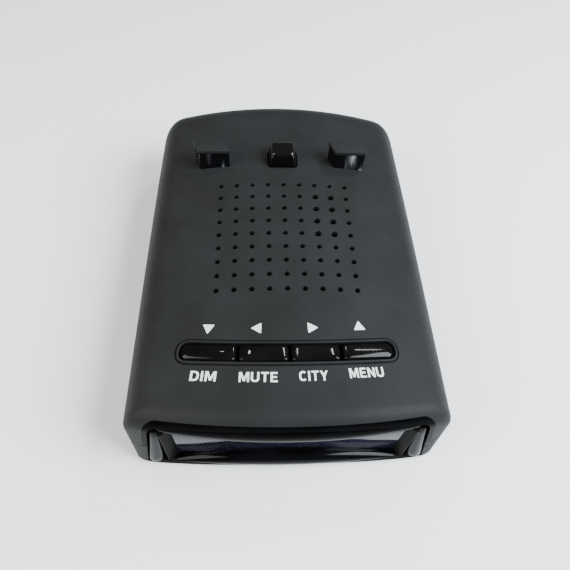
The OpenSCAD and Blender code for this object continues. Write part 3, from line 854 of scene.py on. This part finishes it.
def sound_cutter():
    """Eight of the dimples go right through to the speaker."""
    bm = bmesh.new()
    r = 0.86
    add_lathe(bm, [(0, -3.0), (r, -3.0), (r, -0.15), (r + 0.15, 0.0), (r + 0.15, 0.9), (0, 0.9)], steps=20)
    stamp = finish_mesh("sound_cutter", bm, smooth=False)
    centre = (2.5 * GRILLE_PITCH, GRILLE_Y + 1.5 * GRILLE_PITCH)
    spread(stamp, SOFT, 2, 4, GRILLE_PITCH, GRILLE_PITCH, centre, CROWN_Z)
    follow_crown(stamp)
    return stamp


def follow_crown(thing):
    """Drops each stamp in a grid on to the crown at its own centre."""
    for v in thing.data.vertices:
        x = round(v.co.x / MM / GRILLE_PITCH) * GRILLE_PITCH
        v.co.z -= (CROWN_Z - crown(x)) * MM


def lid_cutters(bm):
    for side in (-1, 1):
        add_prism(bm, light_outline(side, 8.2, 4.1, 0.25), 20, 40)
    add_loft(bm, [box_ring(4.1, 3.2, 1.1, z, 0, LENS_Y) for z in (20, 40)])
    add_prism(bm, row_ring(0.0), 20, 40)
    groove = []
    for out, up in ((0.62, 3.0), (0.62, -0.45), (0.86, -0.45), (0.94, 3.0)):
        groove.append([Vector((x, y, crown(x) + up)) for x, y in row_ring(out)])
    add_grid(bm, groove, close_u=True, close_v=True)


def nose_cutter(bm):
    gap = 0.1
    for_nose = (nose_high.x + gap, nose_low.z - gap, nose_high.z + gap, 3.0)
    add_loft(bm, [end_ring(*for_nose, y) for y in (NOSE_Y - 12, NOSE_Y + 6)])


def port_ring(x, hy, hz, r):
    """Rounded outline of the update port, seen from the side."""
    corners = [(-hy, -hz), (hy, -hz), (hy, hz), (-hy, hz)]
    return [Vector((x, PORT_Y + y, SIDE_Z + z)) for y, z in round_outline(corners, r, 5)]


def side_cutter(bm):
    add_lathe(bm, [(0, 30.0), (3.3, 30.0), (3.3, 40.0), (0, 40.0)], (0, SOCKET_Y, SIDE_Z), "X", 40)
    add_loft(bm, [port_ring(x, 4.2, 2.2, 1.4) for x in (30, 40)])


def floor_cutters(bm):
    screw_hole = [(0, -1), (3.1, -1), (3.1, FLOOR_Z), (2.8, FLOOR_Z + 0.3), (2.8, 4), (0, 4)]
    foot_hole = [(0, -1), (4.6, -1), (4.6, FLOOR_Z + 0.6), (0, FLOOR_Z + 0.6)]
    for side in (-1, 1):
        for y in SCREW_YS:
            add_lathe(bm, screw_hole, (side * SCREW_X, y, 0))
        for y in (-FOOT_Y, FOOT_Y):
            add_lathe(bm, foot_hole, (side * FOOT_X, y, 0), steps=40)
    hx, hy = plate_high.x + 0.2, (plate_high.y - plate_low.y) / 2 + 0.2
    plate_y = middle("rating_plate").y
    add_loft(bm, [box_ring(hx, hy, 1.0, z, 0, plate_y) for z in (-1, FLOOR_Z + 0.3)])


def vent_cutter():
    bm = bmesh.new()
    steps = ((0, 5), (0, FLOOR_Z + 0.3), (0.3, FLOOR_Z), (0.3, -1))
    add_loft(bm, [box_ring(0.7 + grow, 4.5 + grow, 0.68 + grow, z) for grow, z in steps])
    stamp = finish_mesh("vent_cutter", bm, smooth=False)
    spread(stamp, SILL, 7, 1, 4.0, 1.0, (0, -21.5))
    return stamp


def mouth_surround():
    """Glossy band let into the lid round the display's mouth."""
    band = cover("mouth_surround", lid_height, SPLIT_Z)
    cut(band, cutter("band", surround_cutter), operation="INTERSECT")
    cut(band, cutter("mouth", mouth_cutter), cutter("sides", side_cutter))
    soften(band)
    return band


give(mouth_surround(), BROW, "case")
lid = cover("lid", lid_height, SPLIT_Z)
cut(
    lid, cutter("band", surround_cutter), dimple_cutter(), sound_cutter(),
    cutter("openings", lid_cutters), cutter("nose", nose_cutter), cutter("sides", side_cutter),
)
soften(lid)
give(lid, SOFT, "case", stands_for=["top_cover"])

base = cover("base", base_height, SPLIT_Z - 0.25, 1.5)
cut(
    base, cutter("mouth", mouth_cutter), cutter("nose", nose_cutter), cutter("sides", side_cutter),
    cutter("floor_cuts", floor_cutters), vent_cutter(),
)
soften(base)
give(base, SILL, "case", stands_for=["bottom_cover"])


# ---------------------------------------------------------------- key row


def key_rim():
    """Raised lip round the key row, with a rounded section."""
    bm = bmesh.new()
    section = [(0.0, -1.2), (0.0, 0.2), (0.08, 0.36), (0.2, 0.43)]
    section += [(0.36, 0.42), (0.5, 0.3), (0.6, 0.1), (0.64, -0.3)]
    rings = []
    for out, up in section:
        rings.append([Vector((x, y, crown(x) + up)) for x, y in row_ring(out)])
    add_loft(bm, rings, (False, False))
    return finish_mesh("key_rim", bm, crease=50)


give(key_rim(), SOFT, "case")


def key_cap(name, u0, u1, r0, r1):
    """One glossy key: crowned across, rolled off at its ends, with a skirt."""
    bm = bmesh.new()
    hw = KEY_HW - 0.2
    rings = []
    profile = (
        (0, 4.5), (0, 1.2), (0.03, 0.86), (0.12, 0.6), (0.3, 0.4), (0.55, 0.26), (0.9, 0.14),
        (1.2, 0.07), (1.5, 0.03), (1.85, 0.0),
    )
    for inset, down in profile:
        small = [max(0.06, r - inset) for r in (r0, r1)]
        left, right = (inset * (1.0 if r > 1.5 else 1.5) for r in (r0, r1))
        ring = slot_ring(u0 + left, u1 - right, hw - inset, *small, steps=5, along=14)
        rings.append([Vector((x, y, crown(x) + 0.5 - down)) for x, y in ring])
    add_loft(bm, rings)
    return finish_mesh(name, bm, crease=60)


KEY_ENDS = (
    ("dim", ROW_LOW + 0.2, -11.35), ("mute", -10.85, -0.25),
    ("city", 0.25, 10.85), ("menu", 11.35, ROW_HIGH - 0.2),
)
for label, u0, u1 in KEY_ENDS:
    cap = key_cap(label + "_key_cap", u0, u1, 1.65 if u0 < -12 else 0.8, 1.65 if u1 > 12 else 0.8)
    give(cap, KEY_BLACK, label + "_key", stands_for=[label + "_key"])


# ---------------------------------------------------------------- display end


def brow():
    """Glossy brow that arches over the display and runs down both sides."""
    bm = bmesh.new()
    rings = []
    front = superellipse(16, 2.5)
    for x, z, nx, nz, leg in mouth_line(foot_z=3.4, inset=0.08):
        ease = leg * leg * (3 - 2 * leg)
        full = 6.1 - 2.4 * (min(abs(x), 27.2) / 27.2) ** 3
        height = full * (1 - ease) + 0.9 * ease
        depth = 2.6 * (1 - ease) + 0.6 * ease
        y_front = NEAR_Y - 0.4 + bow(x) + 0.9 * ease
        ring = []
        points = [(-1.0, None)] + [(a, b) for a, b in front] + [(1.0, None)]
        for across, forward in points:
            n = (across - 1) * height / 2
            y = -45.3 if forward is None else y_front + depth * (1 - forward)
            ring.append(Vector((x + nx * n, y, z + nz * n)))
        rings.append(ring)
    add_loft(bm, rings)
    return finish_mesh("brow", bm, crease=50)


def window_wings():
    """Slanted cheeks between the window and the posts, and the window's frame."""
    bm = bmesh.new()
    for side in (-1, 1):
        rings = []
        for z, back, reach in ((2.6, 0.0, 32.0), (18.9, 0.5, 29.6)):
            corners = [(25.2, -47.5), (27.2, -49.4 + back), (27.6, -49.2 + back), (27.9, -46.6)]
            corners += [(reach, -46.6), (reach, -45.2), (25.2, -45.2)]
            outline = round_outline(corners, [0.1, 0.2, 0.15, 0.2, 0.1, 0.1, 0.1], 3)
            rings.append([Vector((side * x, y, z)) for x, y in outline])
        add_loft(bm, rings)
    return finish_mesh("window_wings", bm, crease=35)


def ledge():
    """Crescent ledge under the window: deep in the middle, thin at its ends."""
    bm = bmesh.new()
    front = superellipse(14, 2.3)
    rings = []
    for k in range(61):
        x = LEDGE_HW * (2 * k / 60 - 1)
        share = abs(x) / LEDGE_HW
        top = 6.45 - 3.9 * share**2
        low = 1.85
        y_front = LEDGE_Y + x * x / 360
        mid, tall = (top + low) / 2, (top - low) / 2
        ring = [Vector((x, -46.2, low))]
        ring += [Vector((x, y_front + 2.3 * (1 - b), mid + a * tall)) for a, b in front]
        ring += [Vector((x, -47.2, top)), Vector((x, -46.2, top))]
        rings.append(ring)
    add_loft(bm, rings)
    return finish_mesh("ledge", bm, crease=50)


def window():
    bm = bmesh.new()
    hw = glass_high.x - 0.05
    add_box(bm, (-hw, glass_low.y, 4.6), (hw, glass_high.y, 19.4), 0.25, 3)
    return finish_mesh("smoked_window", bm)


def post(side):
    """Leaning satin post, slimmer at the top, with a rounded foot."""
    bm = bmesh.new()
    profile = [(0, -2.0), (0.65, -1.9), (1.2, -1.6), (1.65, -1.1), (1.9, -0.45), (1.97, 0.3)]
    profile += [(1.97 - 0.65 * t, 0.3 + 14.0 * t) for t in (0.15, 0.3, 0.5, 0.7, 0.85, 0.97)]
    profile += [(1.1, 14.6), (0, 14.8)]
    add_lathe(bm, profile, steps=36)
    at = Matrix.Translation((side * 30.1, NEAR_Y + 2.9, 4.3))
    lean = Matrix.Rotation(math.radians(-4.0), 4, "X") @ Matrix.Rotation(math.radians(-6.0 * side), 4, "Y")
    bmesh.ops.transform(bm, matrix=at @ lean, verts=bm.verts)
    return finish_mesh(hand(side) + "_satin_post", bm, crease=50)


for build, finish, node in (
    (brow, BROW, "display_brow"), (window_wings, WING, "window_frame"),
    (ledge, PIANO, "display_ledge"), (window, WINDOW, "display_window"),
):
    give(build(), finish, "case", stands_for=[node])
for side in (-1, 1):
    give(post(side), POST, "case", stands_for=[hand(side) + "_post"])


# ---------------------------------------------------------------- lights and lens


def lamp_centre(side):
    return (side * LIGHT_X - LIGHT_SHEAR * LIGHT_MID, LIGHT_Y + LIGHT_MID, 0)


def light_window(side):
    """Clear block with a round pocket for its lamp."""
    bm = bmesh.new()
    add_prism(bm, light_outline(side, 8.0, 3.9, 0.15), 23.0, HOOD_LOW - 0.05, 0.12, 2)
    block = finish_mesh(hand(side) + "_light_block", bm)
    bore = [(0, 20), (1.8, 20), (1.8, 28.6), (1.5, 29.6), (0.8, 30.2), (0, 30.35)]
    pocket = cutter("pocket", lambda b: add_lathe(b, bore, lamp_centre(side)))
    cut(block, pocket)
    soften(block, 28)
    return block


def light_hood(side):
    bm = bmesh.new()
    add_prism(bm, light_outline(side, 8.5, 4.4, 0.3), HOOD_LOW, HOOD_TOP, 0.22, 3)
    return finish_mesh(hand(side) + "_light_hood", bm, crease=45)


def lamp(side):
    """Domed lamp with a flange."""
    bm = bmesh.new()
    dome = [(1.5 * math.cos(a), 28.4 + 1.5 * math.sin(a)) for a in [math.pi / 2 * k / 8 for k in range(9)]]
    add_lathe(bm, [(0, 24.9), (1.7, 24.9), (1.7, 25.5), (1.5, 25.55)] + dome, lamp_centre(side), steps=28)
    return finish_mesh(hand(side) + "_lamp", bm, crease=40)


def rear_lens():
    """Tapered glossy block with rounded corners."""
    bm = bmesh.new()
    waist = 27.5
    rings = [box_ring(5.0, 4.1, 0.8, z, 0, LENS_Y) for z in (LENS_LOW, LENS_LOW + 1.1)]
    rings += [box_ring(4.0, 3.1, 1.1, z, 0, LENS_Y) for z in (LENS_LOW + 1.12, waist)]
    for t, hx, hy in (
        (0.5, 3.5, 2.8), (0.8, 3.2, 2.6), (0.9, 3.08, 2.52),
        (0.96, 2.95, 2.4), (0.99, 2.8, 2.25), (1.0, 2.55, 2.0),
    ):
        rings.append(box_ring(hx, hy, 0.9, waist + t * (LENS_TOP - waist), 0, LENS_Y + 0.3 * t))
    add_loft(bm, rings)
    return finish_mesh("rear_lens", bm, crease=40)


for side in (-1, 1):
    for build, finish, kind in (
        (light_window, CLEAR, "window"), (light_hood, SOFT, "hood"), (lamp, LED, "led"),
    ):
        give(build(side), finish, "case", stands_for=[hand(side) + "_alert_" + kind])
give(rear_lens(), LENS, "case", stands_for=["rear_laser_lens"])


# ---------------------------------------------------------------- nose, sockets, underside


GLASS_INSET = 0.35


def nose_glass():
    """Smoked window that carries the nose's curve."""
    bm = bmesh.new()
    fit = 0.05
    rings = []
    for edge, inset in ((0.3, GLASS_INSET), (0.0, GLASS_INSET + 0.12), (0.0, 1.9)):
        back = fit + edge
        outline = end_ring(nose_high.x - back, nose_low.z + back, nose_high.z - back, 2.85 - edge, 0, 8)
        rings.append([nose_point(v.x, v.z, inset) for v in outline])
    add_loft(bm, rings[1:], (False, True))
    fill_face(bm, rings[0], rings[1])
    return finish_mesh("nose_glass", bm, crease=40)


def nose_point(x, z, inset):
    start = crown(x) - NOSE_R
    y = end_y(x, 1) - inset
    if z > start:
        y -= NOSE_R - math.sqrt(NOSE_R**2 - (z - start) ** 2)
    return Vector((x, y, z))


def fill_face(bm, ring, rim):
    """Curved front face as a grid of points inside a ring, joined to its rim."""
    count = len(ring)
    centre_z = sum(p.z for p in ring) / count
    loops = [rim, ring]
    for t in (0.8, 0.55, 0.3, 0.1):
        loops.append([nose_point(p.x * t, centre_z + (p.z - centre_z) * t, GLASS_INSET) for p in ring])
    add_loft(bm, loops, (False, True))


def feet():
    """Four round feet with a ring pressed in their soles."""
    bm = bmesh.new()
    profile = [(0, 1.35), (FOOT_R, 1.35), (FOOT_R, 0.45), (4.35, 0.18), (4.0, 0.04), (3.5, 0.0), (2.9, 0.0)]
    profile += [(2.7, 0.12), (2.45, 0.12), (2.25, 0.0), (0, 0.0)]
    add_lathe(bm, profile, steps=40)
    stamp = finish_mesh("soft_feet", bm, crease=60)
    spread(stamp, RUBBER, 2, 2, 2 * FOOT_X, 2 * FOOT_Y, (0, 0))
    return stamp


def case_screws():
    """Four pan-head screws with a cross recess."""
    bm = bmesh.new()
    profile = [(0, 20.9), (0.8, 20.9), (1.08, 20.4), (1.08, 4.0), (SCREW_R, 4.0), (SCREW_R, 3.1)]
    add_lathe(bm, profile + [(2.3, 2.75), (1.8, 2.55), (0, 2.5)], steps=36)
    stamp = finish_mesh("lid_screws", bm, crease=50)
    for hx, hy in ((1.5, 0.28), (0.28, 1.5)):
        cut(stamp, cutter("slot", lambda b: add_box(b, (-hx, -hy, 2.0), (hx, hy, 3.3))))
    soften(stamp, 40)
    low, high = SCREW_YS
    spread(stamp, SCREW, 2, 2, 2 * SCREW_X, high - low, (0, (low + high) / 2))
    return stamp


def jack():
    """Barrel power socket: chamfered mouth, flange and long body."""
    bm = bmesh.new()
    profile = [(0, 22.9), (3.0, 22.9), (3.1, 23.1), (3.1, 33.9), (3.0, 34.15)]
    profile += [(2.3, 34.2), (1.95, 33.9), (1.8, 33.5), (1.8, 23.4), (0, 23.4)]
    add_lathe(bm, profile, (0, SOCKET_Y, SIDE_Z), "X", 44)
    return finish_mesh("power_socket", bm, crease=35)


def usb():
    """Folded metal shell with a flared, rounded mouth."""
    bm = bmesh.new()
    rings = []
    for x, grow in ((28.6, 0), (34.0, 0), (34.2, 0.08), (34.2, -0.22), (33.9, -0.34), (28.9, -0.34)):
        rings.append(port_ring(x, 3.75 + grow, 1.55 + grow, 1.1 + grow))
    add_loft(bm, rings)
    return finish_mesh("update_port_shell", bm, crease=40)


for build, finish, node in (
    (nose_glass, NOSE, "nose_window"), (feet, RUBBER, "rubber_feet"), (case_screws, SCREW, "case_screws"),
    (jack, SOCKET, "jack_housing"), (usb, TIN, "usb_shell"),
):
    give(build(), finish, "case", stands_for=[node])


# ---------------------------------------------------------------- printed signs


def laid_on_lid(name, shapes):
    """Flat outlines [(points, faces)] as thin ink on the crown."""
    bm = bmesh.new()
    for points in shapes:
        low = [bm.verts.new((x, y, on_lid(x, y) - 0.01)) for x, y in points]
        high = [bm.verts.new((x, y, on_lid(x, y) + 0.025)) for x, y in points]
        bm.faces.new(high)
        bm.faces.new(list(reversed(low)))
        for k in range(len(points)):
            j = (k + 1) % len(points)
            bm.faces.new((low[k], low[j], high[j], high[k]))
    return finish_mesh(name, bm, smooth=False, merge=False)


def triangle(cx, cy, heading, size=2.3):
    """A triangle that points along its heading in degrees."""
    points = []
    for turn, reach in ((0, 0.58), (126, 0.72), (-126, 0.72)):
        a = math.radians(heading + turn)
        points.append((cx + size * reach * math.cos(a), cy + size * reach * math.sin(a)))
    return round_outline(points, 0.12, 3)


def bend(cx, cy, rx, ry, start, stop, steps=9):
    """Points on part of a squarish ellipse, in degrees."""
    points = []
    for k in range(steps + 1):
        a = math.radians(start + (stop - start) * k / steps)
        c, n = math.cos(a), math.sin(a)
        points.append((cx + rx * math.copysign(abs(c) ** 0.8, c), cy + ry * math.copysign(abs(n) ** 0.8, n)))
    return points


# Capitals as outlines, one unit tall: (width, outlines).
BOWL = bend(0.36, 0.5, 0.44, 0.5, 90, -90) + [(0.21, 0.0), (0.21, 0.18)]
CAPITALS = {
    "I": (0.21, [[(0, 0), (0.21, 0), (0.21, 1), (0, 1)]]),
    "T": (0.76, [[
        (0, 1), (0, 0.82), (0.275, 0.82), (0.275, 0), (0.485, 0), (0.485, 0.82), (0.76, 0.82), (0.76, 1),
    ]]),
    "E": (0.7, [[
        (0, 0), (0.7, 0), (0.7, 0.18), (0.21, 0.18), (0.21, 0.42), (0.62, 0.42), (0.62, 0.59),
        (0.21, 0.59), (0.21, 0.82), (0.68, 0.82), (0.68, 1), (0, 1),
    ]]),
    "M": (1.0, [[
        (0, 0), (0.2, 0), (0.2, 0.64), (0.41, 0.08), (0.59, 0.08), (0.8, 0.64), (0.8, 0), (1, 0),
        (1, 1), (0.73, 1), (0.5, 0.4), (0.27, 1), (0, 1),
    ]]),
    "N": (0.82, [[
        (0, 0), (0.21, 0), (0.21, 0.64), (0.6, 0), (0.82, 0), (0.82, 1), (0.61, 1), (0.61, 0.36),
        (0.22, 1), (0, 1),
    ]]),
    "Y": (0.84, [[
        (0.315, 0), (0.525, 0), (0.525, 0.4), (0.84, 1), (0.6, 1), (0.42, 0.61), (0.24, 1), (0, 1),
        (0.315, 0.4),
    ]]),
    "U": (0.82, [
        bend(0.41, 0.38, 0.41, 0.38, 180, 360) + [(0.82, 1), (0.61, 1)]
        + bend(0.41, 0.38, 0.2, 0.2, 360, 180) + [(0.21, 1), (0, 1)],
    ]),
    "C": (0.8, [bend(0.42, 0.5, 0.42, 0.5, 48, 312, 18) + bend(0.42, 0.5, 0.21, 0.32, 318, 42, 18)]),
    "D": (0.8, [
        [(0, 0), (0.21, 0), (0.21, 1), (0, 1)],
        BOWL + bend(0.36, 0.5, 0.23, 0.32, -90, 90) + [(0.21, 0.82), (0.21, 1)],
    ]),
}


LETTER_HEIGHT = 2.2


def word(text, cx, cy, width, turn):
    """Outlines of a word in capitals, centred on a point of the lid."""
    gap = 0.16
    total = sum(CAPITALS[c][0] for c in text) + gap * (len(text) - 1)
    c, n = math.cos(math.radians(turn)), math.sin(math.radians(turn))
    shapes, pen = [], 0.0
    for letter in text:
        wide, outlines = CAPITALS[letter]
        for outline in outlines:
            flat = [((pen + x - total / 2) * width / total, (y - 0.5) * LETTER_HEIGHT) for x, y in outline]
            shapes.append([(cx + x * c - y * n, cy + x * n + y * c) for x, y in flat])
        pen += wide + gap
    return shapes


ARROWS = ((-17.6, -27.8, -96), (-7.0, -28.3, 178), (5.1, -28.3, 2), (15.6, -27.5, 95))
give(laid_on_lid("sign_arrows", [triangle(*arrow) for arrow in ARROWS]), INK, "case")
for text, cx, cy, width, turn in (
    ("DIM", -18.1, -38.9, 5.5, -5.5), ("MUTE", -6.7, -39.7, 8.0, -2.0),
    ("CITY", 4.7, -39.6, 6.0, 1.5), ("MENU", 16.0, -38.6, 7.5, 5.0),
):
    sign = laid_on_lid("sign_" + text.lower(), word(text, cx, cy, width, turn))
    give(sign, INK, "case")


# ---------------------------------------------------------------- stage


def ground():
    """Pale floor, a hair under the feet."""
    bm = bmesh.new()
    size, drop = 4000, 0.05
    verts = [bm.verts.new((x * size, y * size, -drop)) for x, y in ((-1, -1), (1, -1), (1, 1), (-1, 1))]
    bm.faces.new(verts)
    floor = finish_mesh("ground", bm, smooth=False)
    finish = bpy.data.materials.new("Pale floor")
    finish.use_nodes = True
    shader = finish.node_tree.nodes["Principled BSDF"]
    shader.inputs["Base Color"].default_value = (0.9, 0.9, 0.9, 1)
    shader.inputs["Roughness"].default_value = 0.9
    floor.data.materials.append(finish)


def lamp_panel(name, at, aim, size, power, colour=(1, 1, 1)):
    light = bpy.data.lights.new(name, "AREA")
    light.shape = "RECTANGLE"
    light.size, light.size_y = size
    light.energy = power
    light.color = colour
    thing = bpy.data.objects.new(name, light)
    thing.location = at
    thing.rotation_euler = (Vector(aim) - Vector(at)).to_track_quat("-Z", "Y").to_euler()
    bpy.context.scene.collection.objects.link(thing)


def viewpoint(at, aim, roll, lens):
    """Camera at a point in millimetres, aimed and then rolled."""
    data = bpy.data.cameras.new("view")
    data.lens = lens
    data.sensor_width = 36.0
    data.clip_start = 0.005
    thing = bpy.data.objects.new("view", data)
    at, aim = Vector(at) * MM, Vector(aim) * MM
    turn = (aim - at).to_track_quat("-Z", "Y").to_matrix().to_4x4()
    thing.matrix_world = Matrix.Translation(at) @ turn @ Matrix.Rotation(math.radians(roll), 4, "Z")
    bpy.context.scene.collection.objects.link(thing)
    bpy.context.scene.camera = thing


ground()
viewpoint((-6.91, -82.36, 125.86), (-0.53, -17.18, 28.0), 4.59, 32.4)
lamp_panel("right", (0.34, -0.12, 0.36), (0, 0, 0.02), (0.3, 0.3), 8.0, (0.86, 0.94, 1.0))
lamp_panel("left", (-0.36, -0.16, 0.34), (0, 0, 0.02), (0.3, 0.3), 3.0, (1.0, 0.98, 0.93))
lamp_panel("glint", (0.27, 0.26, 0.5), (0.018, -0.03, 0.028), (0.12, 0.02), 1.2)
lamp_panel("small_glint", (-0.15, 0.235, 0.54), (-0.013, -0.03, 0.028), (0.05, 0.02), 0.5)
world = bpy.data.worlds.new("Soft room")
world.use_nodes = True
world.node_tree.nodes["Background"].inputs["Color"].default_value = (0.95, 0.97, 1.0, 1)
world.node_tree.nodes["Background"].inputs["Strength"].default_value = 0.25
bpy.context.scene.world = world
